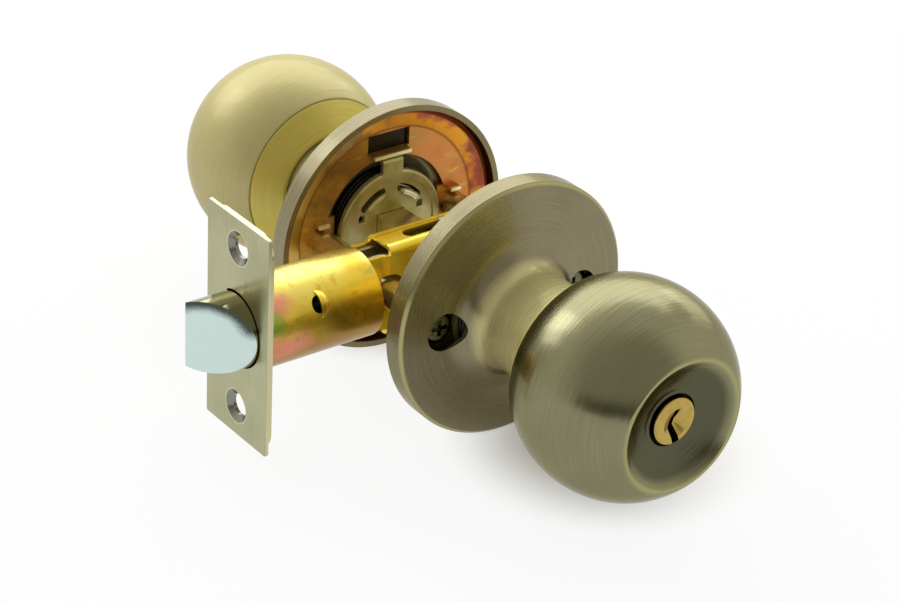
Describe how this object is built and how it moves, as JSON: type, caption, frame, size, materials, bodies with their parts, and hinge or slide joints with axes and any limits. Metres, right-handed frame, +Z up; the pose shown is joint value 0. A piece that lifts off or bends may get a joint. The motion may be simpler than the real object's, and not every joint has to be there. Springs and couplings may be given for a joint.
{
  "type": "ball knob latch set",
  "caption": "Tubular spring latch with ball knobs in antique brass on flared roses; a key turns the dished outside knob's cylinder and a thumb button the inside one.",
  "frame": {"origin": "where the knob axis crosses the latch axis, in the middle of the door's thickness", "axes": "+Y along the knob axis to the inside knob, -X along the latch axis to the bolt, +Z up"},
  "size_m": [0.1043, 0.1814, 0.0656],
  "materials": {
    "antique_brass": "antique brass, brushed round the axis, paler at the edges",
    "black_nylon": "black nylon",
    "plain_steel": "plain pressed steel",
    "pale_zinc": "pale zinc plate with a cream tint",
    "spring_steel": "dark drawn wire",
    "yellow_zinc": "yellow passivated zinc with pink and green bloom",
    "screw_steel": "dull plated steel",
    "turned_brass": "turned brass",
    "satin_brass": "pale satin brass, brushed upright",
    "nickel_plate": "nickel plated zinc casting",
    "gold_zinc": "bright gold passivated zinc"
  },
  "bodies": {
    "chassis": {"faceplate": "satin_brass", "backing_plate": "satin_brass", "latch_tube": "yellow_zinc", "spring_seat": "plain_steel", "latch_case": "gold_zinc", "bolt_spring": "spring_steel", "outside_rose": "antique_brass", "inside_rose": "antique_brass", "outside_plate": "yellow_zinc", "inside_plate": "yellow_zinc", "outside_bush": "black_nylon", "inside_bush": "black_nylon", "outside_return_spring": "spring_steel", "inside_return_spring": "spring_steel", "mounting_posts": "yellow_zinc", "mounting_screws": "screw_steel"},
    "knobs": {"outside_knob": "antique_brass", "outside_knob_cap": "antique_brass", "outside_knob_support": "plain_steel", "outside_sleeve": "plain_steel", "outside_drive_disc": "pale_zinc", "inside_knob": "antique_brass", "inside_knob_cap": "antique_brass", "inside_knob_support": "plain_steel", "inside_sleeve": "plain_steel", "inside_drive_disc": "pale_zinc", "spindle": "yellow_zinc", "latch_hub": "plain_steel", "cylinder_housing": "turned_brass", "driver_pins": "turned_brass", "button_guide": "turned_brass"},
    "bolt": {"latch_bolt": "nickel_plate", "bolt_tail": "plain_steel", "retractor": "plain_steel"},
    "key_barrel": {"key_plug": "turned_brass", "key_pins": "turned_brass", "plug_clip": "spring_steel", "tailpiece": "plain_steel"},
    "button": {"turn_button": "antique_brass", "lock_bar": "plain_steel"}
  },
  "joints": [
    {"name": "knob_turn", "type": "hinge", "parent": "chassis", "child": "knobs", "pos_m": [0, 0, 0], "axis": [0, 1, 0], "range_deg": [0, 60], "stiffness_Nm_per_rad": 0.25, "springref_deg": -20.05, "deforming": ["inside_return_spring", "outside_return_spring"]},
    {"name": "latch_retract", "type": "slide", "parent": "chassis", "child": "bolt", "axis": [1, 0, 0], "range_m": [0, 0.0115], "stiffness_N_per_m": 300, "springref_m": -0.01, "deforming": ["bolt_spring"]},
    {"name": "key_turn", "type": "hinge", "parent": "knobs", "child": "key_barrel", "pos_m": [0, -0.08, 0], "axis": [0, 1, 0], "range_deg": [-90, 90]},
    {"name": "button_turn", "type": "hinge", "parent": "knobs", "child": "button", "pos_m": [0, 0.08, 0], "axis": [0, 1, 0], "range_deg": [0, 90]}
  ],
  "couplings": [
    {"joint": "latch_retract", "follows": "knob_turn", "m_per_rad": 0.01095}
  ]
}
